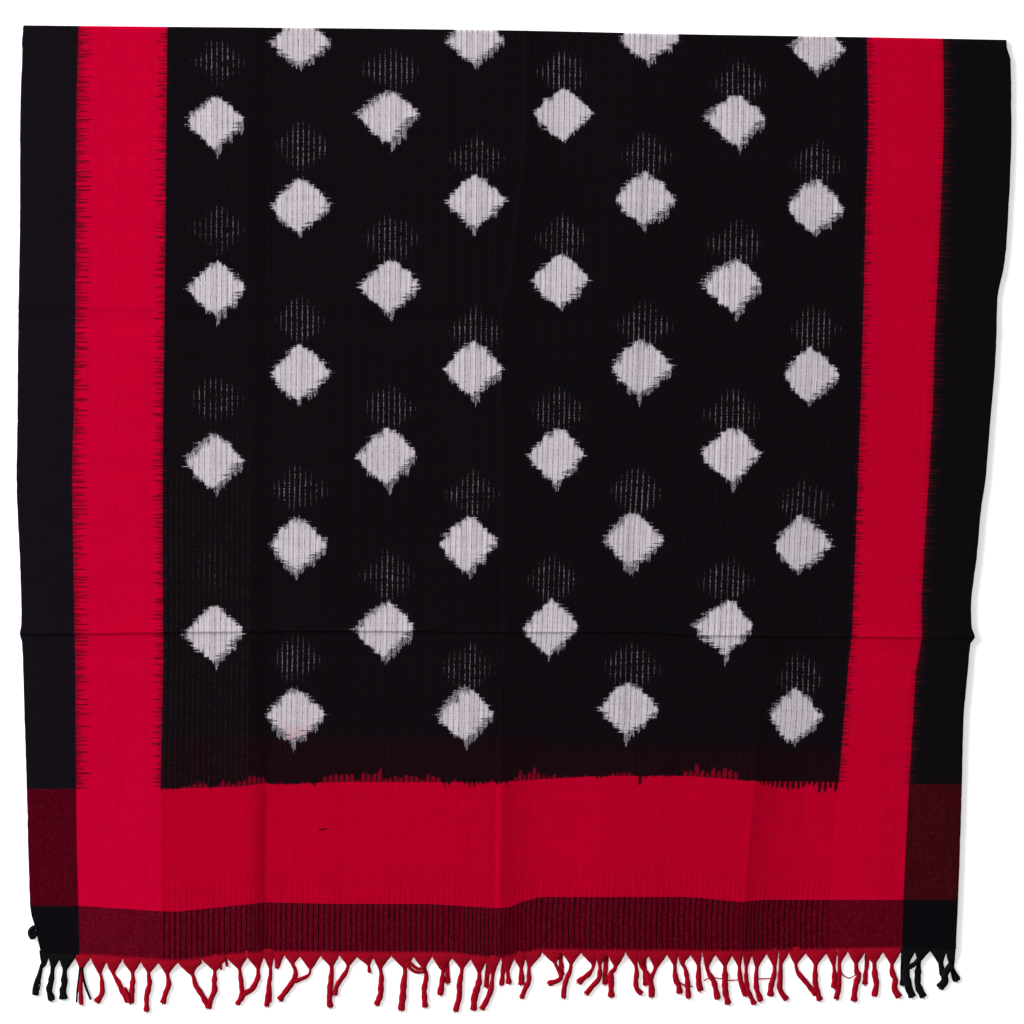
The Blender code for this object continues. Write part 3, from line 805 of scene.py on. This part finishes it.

    # Empty dents: only the weft crosses them, and the layer behind shows through in beads. The dark in the
    # gap is painted shade, and what shows through is painted too
    bead = add("SoftStep", chance(bundle, number_of(weft, 1.35), 31.0), 0.15, 0.95)
    # Painted backlight: in the empty dents on the left, light from behind shows dimly through both layers, in
    # place of the layer behind's diamonds
    painted_backlight = add("MULTIPLY", add("LESS_THAN", warp, BACKLIT_RIGHT), add("SoftStep", row, 3.6, 6.0, 0.0, 0.8))
    sheer = add("MULTIPLY", bead, add("MULTIPLY_ADD", bundle_luck[1], 0.8, 0.3))
    sheer = add("MULTIPLY", sheer, add("MULTIPLY_ADD", painted_backlight, -1.1, 1.0))
    # Painted shade inside the empty dents, turning to painted backlight on the left
    dim = add("Blend", add("MULTIPLY", painted_backlight, bead), "0b090c", "27241f")
    dim = add("Blend", add("MULTIPLY", ghost, sheer), dim, "7a737b")
    dim = add("Blend", add("MULTIPLY", glow, sheer), dim, "380811")
    dim = add("Blend", in_foot, dim, "160208")
    slit = add("Blend", red_weft, dim, "7d0016")
    slit = add("Blend", white_weft, slit, add("Blend", bead, "746a73", "a89ea6"))
    slit_half = add("ADD", add("MULTIPLY_ADD", in_foot, 0.2, 0.4), add("MULTIPLY", ghost, 0.12))
    shown = add("MULTIPLY", add("SoftStep", end_share, 9.6, 10.15, 0.1, 0.48), red_weft)
    shown = add("MAXIMUM", shown, add("SUBTRACT", 1.0, red_weft))
    empty = add("MULTIPLY", add("SoftStep", add("DIVIDE", from_gap, slit_half), 1.4, 0.6), in_field)
    empty = add("MULTIPLY", empty, add("MULTIPLY_ADD", raw_end, -0.9, 1.0))
    colour = add("Blend", add("MULTIPLY", empty, shown), body, slit)

    # One dark slub in the end band
    on_line = add("COMPARE", add("MULTIPLY_ADD", warp, SLUB_SLANT, weft), SLUB_LINE, 0.8)
    slub = add("MULTIPLY", add("COMPARE", warp, SLUB_ACROSS, 4.0), on_line)
    colour = add("Blend", add("MULTIPLY", slub, 0.85), colour, "2a0409")

    # Threads differ a little in depth of dye, along the whole of their length
    rib = add("MULTIPLY_ADD", chance(warp_thread, 4.0, 4.0), 0.08, 0.93)
    pick = add("MULTIPLY_ADD", chance(weft_thread, 4.0, 6.0), 0.08, 0.96)
    tone = add("MULTIPLY", add("MULTIPLY", rib, pick), add("SoftStep", cloud, 0.25, 0.75, 1.03, 0.96))
    colour = add("Blend", 1.0, colour, add("CombineColor", tone, tone, tone), blend_type="MULTIPLY")
    tree.links.new(colour.outputs[2], shader.inputs["Base Color"])

    # Plain weave, drawn at 0.9 mm a thread, twice as coarse as the real one, so that it shows
    over = add("SINE", add("MULTIPLY", warp, math.pi / WARP_PITCH))
    under = add("SINE", add("MULTIPLY", weft, math.pi / WEFT_PITCH))
    bump = add("Bump", 0.3, 0.0002)
    tree.links.new(add("MULTIPLY", over, under).outputs[0], bump.inputs["Height"])
    tree.links.new(bump.outputs["Normal"], shader.inputs["Normal"])
    shader.inputs["Roughness"].default_value = 0.95
    shader.inputs["Specular IOR Level"].default_value = 0.01
    return material


# Soft two-ply cotton of the fringe: matt, with fuzzy filaments, painted shade in the groove between the
# plies, and random darker patches in the same dark colour
def fringe_yarn(name, pale, deep, groove_shade_and_patch):
    material, tree, shader = new_material(name)
    add = partial(add_node, tree)
    turn = add("SeparateXYZ", add("UVMap", uv_map="Yarn"))
    around, length = turn.outputs[0], turn.outputs[1]
    grain = add("CombineXYZ", add("MULTIPLY", around, 22.0), add("MULTIPLY", length, 90.0), 0.0)
    filament = add("TexNoise", grain, None, 1.0, 3.0)
    patch = add("TexNoise", add("TexCoord").outputs["Object"], None, 70.0, 2.0)
    ply = add("PINGPONG", add("PINGPONG", around, 1.0), 0.5)
    seam = add("SoftStep", ply, 0.0, 0.12, 1.0, 0.0)
    body = add("Blend", add("MapRange", filament, 0.4, 0.6, 0.0, 1.0), deep, pale)
    body = add("Blend", add("MapRange", patch, 0.45, 0.7, 0.0, 0.45), body, groove_shade_and_patch)
    # Painted shade along the groove between the two plies
    body = add("Blend", add("MULTIPLY", seam, 0.25), body, groove_shade_and_patch)
    tree.links.new(body.outputs[2], shader.inputs["Base Color"])
    bump = add("Bump", 0.6, 0.0003)
    tree.links.new(filament.outputs[0], bump.inputs["Height"])
    tree.links.new(bump.outputs["Normal"], shader.inputs["Normal"])
    shader.inputs["Roughness"].default_value = 0.95
    shader.inputs["Specular IOR Level"].default_value = 0.08
    shader.inputs["Sheen Weight"].default_value = 0.02
    return material


PAPER_GLOW = 0.42


# Matt white paper floor. It glows a little, so that it reads as plain white with pale shadows.
def sweep_paper(settings):
    material, tree, shader = new_material("matt white paper")
    add = partial(add_node, tree)
    grain = add("TexNoise", add("TexCoord").outputs["Object"], None, 400.0, 2.0)
    bump = add("Bump", 0.03, 0.0005)
    tree.links.new(grain.outputs[0], bump.inputs["Height"])
    tree.links.new(bump.outputs["Normal"], shader.inputs["Normal"])
    shader.inputs["Base Color"].default_value = (*settings.floor, 1)
    shader.inputs["Roughness"].default_value = 0.9
    shader.inputs["Specular IOR Level"].default_value = 0.1
    shader.inputs["Emission Color"].default_value = (1, 1, 1, 1)
    shader.inputs["Emission Strength"].default_value = PAPER_GLOW
    return material


def new_piece(name, bm, *materials):
    """A finished object at the origin, with its place in its mesh."""
    mesh = bpy.data.meshes.new(name)
    bm.to_mesh(mesh)
    bm.free()
    for material in materials:
        mesh.materials.append(material)
    mesh.shade_smooth()
    piece = bpy.data.objects.new(name, mesh)
    bpy.context.scene.collection.objects.link(piece)
    return piece


SheetPoint = namedtuple("SheetPoint", "place warp row behind")


def sheet_section():
    """Rows of the folded sheet from the front end, over the fold, to the rear end."""
    rows = grid_lines(ROW_SPANS, NEAR_CROSSWISE, ROW_STEP)

    def front_row(row, column):
        across, down = front_place(column, row)
        laid = down + FOLD_REACH * max(1 - (down - eased(FOLD_LINE, across)) / FOLD_EASE, 0)
        height = front_height(across, laid)
        return SheetPoint(
            point(across, laid, height), warp_at(across, laid),
            front_weft(across, down), rear_weft(across, laid),
        )

    def fold_row(angle, column):
        across, down = front_place(column, 0)
        radius = front_height(across, down + FOLD_REACH) / 2
        laid = down + FOLD_REACH * (1 - math.cos(angle))
        return SheetPoint(
            point(across, laid, radius * (1 + math.sin(angle))), warp_at(across, laid),
            front_weft(across, down), rear_weft(across, down),
        )

    def rear_row(share, column):
        across, down, free = rear_place(column, share)
        return SheetPoint(
            point(across, down, 0), warp_at(free, down), rear_weft(free, down), front_weft(free, down)
        )

    section = [partial(front_row, row) for row in reversed(rows)]
    for step in range(1, FOLD_STEPS):
        section.append(partial(fold_row, math.pi * (0.5 - step / FOLD_STEPS)))
    nearest = REAR_SHARES[-1]
    shares = [nearest + (1 - nearest) * step / REAR_ROWS for step in range(1, REAR_ROWS + 1)]
    section += [partial(rear_row, share) for share in (*REAR_SHARES, *shares)]
    return section


def frayed(row_number, column, last_column):
    """Each selvedge waves in and out a little where the weft turns round it."""
    if column not in (0, last_column):
        return 0.0
    return FRAY * noise.noise(Vector((row_number * 1.7, column, 1)))


class SHAWL_OT_cloth(bpy.types.Operator):
    """Build the woven sheet, folded once, on the CAD cloth's place"""

    bl_idname = "shawl.cloth"
    bl_label = "Folded cloth"

    def execute(self, context):
        settings = context.scene.shawl
        columns = grid_lines(COLUMN_SPANS, NEAR_LENGTHWISE, COLUMN_STEP)
        section = sheet_section()
        bm = bmesh.new()
        bmesh.ops.create_grid(bm, x_segments=len(columns) - 1, y_segments=len(section) - 1, size=1)
        bm.verts.ensure_lookup_table()
        edge_steps = [(warp_at(across, BAND_EDGE_DOWN), reach) for across, reach in BAND_EDGE_STEPS]
        laid = {}
        for vert in bm.verts:
            column = round((vert.co.x + 1) / 2 * (len(columns) - 1))
            number = round((vert.co.y + 1) / 2 * (len(section) - 1))
            spot = section[number](columns[column])
            laid[vert.index] = spot
            vert.co = spot.place
            vert.co.x += frayed(number, column, len(columns) - 1) * MM
        weave = bm.loops.layers.uv.new("Weave")
        motif = bm.loops.layers.uv.new("Motif")
        behind = bm.loops.layers.uv.new("Behind")
        for face in bm.faces:
            for loop in face.loops:
                spot = laid[loop.vert.index]
                loop[weave].uv = (spot.warp * MM, spot.row * REPEAT * MM)
                loop[motif].uv = (motif_column(spot.warp), spot.row)
                loop[behind].uv = (along(edge_steps, spot.warp), spot.behind)
        cloth = new_piece("folded_ikat_cloth", bm, ikat_cotton(settings))
        wall = cloth.modifiers.new("Thickness", "SOLIDIFY")
        wall.thickness = settings.thickness
        wall.offset = -1
        wall.use_even_offset = True
        cloth.modifiers.new("Even shading", "WEIGHTED_NORMAL").weight = 100
        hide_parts("cloth")
        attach(cloth, "root")
        return {"FINISHED"}


def curved(path, step):
    """Points every step millimetres along a smooth line through the path."""
    points = [Vector(spot) for spot in path]
    ends = [2 * points[0] - points[1], *points, 2 * points[-1] - points[-2]]
    line = [points[0]]
    for before, first, last, after in zip(ends, ends[1:], ends[2:], ends[3:]):
        count = max(round((last - first).length / step), 1)
        for place in range(1, count + 1):
            t = place / count
            line.append(
                0.5 * (
                    2 * first + (last - before) * t + (2 * before - 5 * first + 4 * last - after) * t * t
                    + (3 * first - before - 3 * last + after) * t ** 3
                )
            )
    return line


# A ring of a tube: its middle, the way to its right, its reaches to both sides and upwards, how
# far its two plies stand out, and how many turns its twist has made
Ring = namedtuple("Ring", "middle sideways left right half lobe turned", defaults=(0.0, 0.0))


def add_tube(bm, rings, sides, slot):
    """Bends a grid into a tube through the rings, and closes its seam and its ends."""
    uv = bm.loops.layers.uv.verify()
    made = bmesh.ops.create_grid(bm, x_segments=sides, y_segments=len(rings) - 1, size=1)["verts"]
    spots = {}
    for vert in made:
        turn = (vert.co.x + 1) / 2
        number = round((vert.co.y + 1) / 2 * (len(rings) - 1))
        ring = rings[number]
        angle = 2 * math.pi * turn
        bulge = 1 + ring.lobe * math.cos(2 * (angle - 2 * math.pi * ring.turned))
        reach = math.cos(angle)
        spots[vert] = (turn - ring.turned, number)
        vert.co = (
            ring.middle + ring.sideways * reach * (ring.right if reach > 0 else ring.left) * bulge
            + Vector((0, 0, math.sin(angle) * ring.half * bulge))
        )
    faces = {face for vert in made for face in vert.link_faces}
    for face in faces:
        face.material_index = slot
        for loop in face.loops:
            turn, number = spots[loop.vert]
            loop[uv].uv = (turn, number * RING_STEP * MM)
    bmesh.ops.remove_doubles(bm, verts=made, dist=MERGE)
    edges = {edge for face in faces if face.is_valid for edge in face.edges}
    rims = [edge for edge in edges if edge.is_boundary]
    for face in bmesh.ops.holes_fill(bm, edges=rims, sides=0)["faces"]:
        face.material_index = slot


def strand_rings(path, start, slope, halves, half_height, draw):
    """Rings of one strand: flat and wide at the cloth's end, then a neck, then a soft round cord."""
    line = curved(path, RING_STEP)
    half_width, gather_left, gather_right = halves
    rings = []
    total = RING_STEP * (len(line) - 1)
    neck = GATHER_RUN * (1 + 0.35 * noise.noise(Vector((draw, 3, 1))))
    for number, spot in enumerate(line):
        run = RING_STEP * number
        ahead = line[min(number + 1, len(line) - 1)] - line[max(number - 1, 0)]
        sideways = Vector((-ahead.y, ahead.x)).normalized()
        if sideways.x < 0:
            sideways = -sideways
        part = min(max((neck - run) / (neck - GATHER_FULL), 0), 1)
        flare = part**FLARE_EASE
        spot = spot + sideways * WAVE * (1 - part) * noise.noise(Vector((run / 9, draw, 5)))
        sideways = Vector((1, 0)).lerp(sideways, 1 - part).normalized()
        swell = 1 + 0.2 * noise.noise(Vector((run / 7, draw, 0)))
        swell *= NECK + (1 - NECK) * min(max((run - neck) / NECK_RUN, 0), 1)
        swell *= 1 + 0.22 * max(1 - (total - run) / TIP_RUN, 0) - 0.3 * (number == len(line) - 1)
        body = half_width * swell
        loose = 0.8 * flare * noise.noise(Vector((run / 3, draw, 9)))
        half = GATHER_HALF_HEIGHT + (half_height * min(swell, 1) - GATHER_HALF_HEIGHT) * (1 - flare)
        lobe = PLY_DEPTH * (1 - flare)
        foot = half * (1 + lobe)
        sunk = min(max((run - GATHER_FULL) / SINK_RUN, 0), 1)
        height = start + (foot - start) * sunk * sunk * (3 - 2 * sunk)
        rings.append(Ring(
            point(spot.x, spot.y, height), Vector((sideways.x, -sideways.y, slope * (1 - sunk))) * MM,
            body + (gather_left - body) * flare + loose, body + (gather_right - body) * flare + loose,
            half * MM, lobe,
            max(run - neck, 0) / TWIST_PITCH,
        ))
    return rings


def thread_rings(line, height, thin, taper):
    """Rings of one loose thread, level and round, and thinner towards its end by the taper."""
    rings = []
    for number, spot in enumerate(line):
        ahead = line[min(number + 1, len(line) - 1)] - line[max(number - 1, 0)]
        sideways = Vector((-ahead.y, ahead.x)).normalized()
        half = thin * (1 - taper * number / (len(line) - 1))
        rings.append(Ring(
            point(spot.x, spot.y, height), Vector((sideways.x, -sideways.y, 0)) * MM, half, half, half * MM
        ))
    return rings


def add_tip(bm, line, slot, draw):
    """Loose fibres that spread from a strand's cut end."""
    end = line[-1]
    ahead = (line[-1] - line[-3]).normalized()
    for _ in range(TIP_FIBRES):
        spread = draw.uniform(-0.6, 0.6)
        reach = draw.uniform(0.8, 2.6)
        turned = Vector((ahead.x * math.cos(spread) - ahead.y * math.sin(spread),
                         ahead.x * math.sin(spread) + ahead.y * math.cos(spread)))
        root = end + Vector((-ahead.y, ahead.x)) * draw.uniform(-1.6, 1.6)
        bend = Vector((draw.uniform(-0.8, 0.8), draw.uniform(-0.8, 0.8)))
        fibre = curved((root - ahead * 2, root + turned * reach / 2 + bend, root + turned * reach), 1.5)
        add_tube(bm, thread_rings(fibre, draw.uniform(0.6, 1.5), 0.45, 0.7), TIP_SIDES, slot)


# Each yarn: name, pale and deep tones, and the dark of its painted groove shade and of its random patches
YARNS = (
    ("red cotton fringe yarn", "b40021", "830017", "560010"),
    ("black cotton fringe yarn", "0d0b0e", "070608", "040304"),
)


def yarn_materials():
    return [bpy.data.materials.get(name) or fringe_yarn(name, *tones) for name, *tones in YARNS]


def build_fringe(strands, end_height, gather, half_width, half_height):
    """A mesh of all the strands of one end, whose cloth lies at end_height of a place across."""
    draw = random.Random(11)
    bm = bmesh.new()
    bm.loops.layers.uv.new("Yarn")
    roots = [strand.path[0][0] for strand in strands]
    gaps = [(after - before) / 2 for before, after in zip(roots, roots[1:])]
    gaps = [CORNER_GATHERS[0], *gaps, CORNER_GATHERS[1]]
    for strand, *sides in zip(strands, gaps, gaps[1:]):
        first = Vector(strand.path[0])
        path = (first - Vector((0, TUCK)), *strand.path[1:])
        left, right = (max(min(reach * draw.uniform(0.98, 1.2), gather), LEAST_GATHER) for reach in sides)
        halves = (half_width * draw.uniform(0.92, 1.06) * strand.share, left, right)
        edges = end_height(first.x - left), end_height(first.x + right)
        start = (end_height(first.x) + sum(edges)) / 3
        slope = (edges[1] - edges[0]) / (left + right)
        rings = strand_rings(path, start, slope, halves, half_height, draw.uniform(0, 50))
        add_tube(bm, rings, STRAND_SIDES, strand.yarn)
        add_tip(bm, curved(path, RING_STEP), strand.yarn, draw)
    return bm


class SHAWL_OT_fringes(bpy.types.Operator):
    """Build the twisted fringes of both layers' ends"""

    bl_idname = "shawl.fringes"
    bl_label = "Twisted fringes"

    def execute(self, context):
        settings = context.scene.shawl
        half = settings.thickness / MM / 2

        def front_middle(across):
            return front_height(across, along(FRONT_END, across) - 1) - half

        half_width = settings.strand_width / MM / 2
        front_mesh = build_fringe(FRONT_STRANDS, front_middle, FRONT_GATHER, half_width, FRONT_HALF_HEIGHT)
        for end in LOOSE_ENDS:
            thin = STRAND_HALF_WIDTH * end.share
            rings = thread_rings(curved(end.path, LOOSE_STEP), max(thin, LOOSE_LOWEST), thin, LOOSE_TAPER)
            add_tube(front_mesh, rings, THREAD_SIDES, end.yarn)
        rings = thread_rings(curved(CORNER_LOOP, LOOP_STEP), LOOP_HEIGHT, LOOP_HALF, LOOP_TAPER)
        add_tube(front_mesh, rings, THREAD_SIDES, BLACK)
        rear_strands = []
        for number in range(REAR_COUNT):
            root = REAR_FIRST + REAR_PITCH * number
            front_end = along(FRONT_END, root)
            end = front_end - REAR_SHORTFALL
            tip = next((spot for spot in REAR_TIPS if abs(spot[0] - root) <= REAR_PITCH / 2), None)
            tip = tip or (root, front_end - REAR_HIDDEN)
            middle = ((root + tip[0]) / 2, (end + tip[1]) / 2)
            yarn = RED if RED_WARPS[0] < root < RED_WARPS[1] else BLACK
            rear_strands.append(Strand(((root, end), middle, tip), REAR_SHARE, yarn))
        rear_mesh = build_fringe(rear_strands, lambda across: half, REAR_GATHER, half_width, REAR_HALF_HEIGHT)
        for side, mesh in (("front", front_mesh), ("rear", rear_mesh)):
            bmesh.ops.recalc_face_normals(mesh, faces=mesh.faces)
            piece = new_piece(f"twisted_fringe_{side}", mesh, *yarn_materials())
            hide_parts(f"fringe_{side}")
            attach(piece, "root")
        return {"FINISHED"}


# Camera, floor and lights, in metres, with the middle of the view in millimetres
VIEW_DISTANCE = 4.0
VIEW_WIDTH = 1.024
VIEW_MIDDLE = (-2.25, 5.75)
SENSOR = 36.0
FLOOR_HALF = 12.0
FLOOR_DROP = 0.2  # millimetres under the cloth
WINDOW_PLACE = (-6.4, 3.6, 3.1)
WINDOW_SIZE = 5.0
WINDOW_POWER = 1240.0
ROOM_LIGHT = 0.38


class SHAWL_OT_stage(bpy.types.Operator):
    """Lay a pale floor, and set soft light and the camera straight above"""

    bl_idname = "shawl.stage"
    bl_label = "Stage, light and camera"

    def execute(self, context):
        scene = context.scene
        bm = bmesh.new()
        bmesh.ops.create_grid(bm, x_segments=1, y_segments=1, size=FLOOR_HALF)
        for vert in bm.verts:
            vert.co.z = -FLOOR_DROP * MM
        floor = new_piece("paper_floor", bm, sweep_paper(scene.shawl))
        light = bpy.data.lights.new("window_left", "AREA")
        light.size = WINDOW_SIZE
        light.energy = WINDOW_POWER
        lamp = bpy.data.objects.new("window_left", light)
        lamp.location = WINDOW_PLACE
        lamp.rotation_euler = Vector(WINDOW_PLACE).to_track_quat("Z", "Y").to_euler()
        scene.collection.objects.link(lamp)
        world = bpy.data.worlds.new("studio")
        world.use_nodes = True
        backdrop = world.node_tree.nodes["Background"]
        backdrop.inputs["Color"].default_value = (1, 1, 1, 1)
        backdrop.inputs["Strength"].default_value = ROOM_LIGHT
        scene.world = world
        scene.view_settings.view_transform = "Standard"
        scene.view_settings.look = "None"
        lens = bpy.data.cameras.new("camera")
        lens.sensor_width = SENSOR
        lens.lens = SENSOR * VIEW_DISTANCE / VIEW_WIDTH
        lens.clip_start = 0.05
        camera = bpy.data.objects.new("camera", lens)
        camera.location = (VIEW_MIDDLE[0] * MM, VIEW_MIDDLE[1] * MM, VIEW_DISTANCE + FRONT_TOP * MM)
        scene.collection.objects.link(camera)
        scene.camera = camera
        return {"FINISHED"}


OPERATORS = (SHAWL_OT_stage, SHAWL_OT_cloth, SHAWL_OT_fringes)


class SHAWL_PT_panel(bpy.types.Panel):
    """Lists the shawl's pieces and settings"""

    bl_idname = "SHAWL_PT_panel"
    bl_label = "Folded ikat shawl"
    bl_space_type = "VIEW_3D"
    bl_region_type = "UI"
    bl_category = "Shawl"

    def draw(self, context):
        settings = context.scene.shawl
        for name in settings.bl_rna.properties.keys():
            if name not in ("rna_type", "name"):
                self.layout.prop(settings, name)
        for operator in OPERATORS:
            self.layout.operator(operator.bl_idname)


CLASSES = (ShawlSettings, *OPERATORS, SHAWL_PT_panel)


def register():
    for item in CLASSES:
        bpy.utils.register_class(item)
    bpy.types.Scene.shawl = bpy.props.PointerProperty(type=ShawlSettings)


def unregister():
    del bpy.types.Scene.shawl
    for item in reversed(CLASSES):
        bpy.utils.unregister_class(item)


def main():
    register()
    bpy.ops.shawl.stage()
    bpy.ops.shawl.cloth()
    bpy.ops.shawl.fringes()


if __name__ == "__main__":
    main()
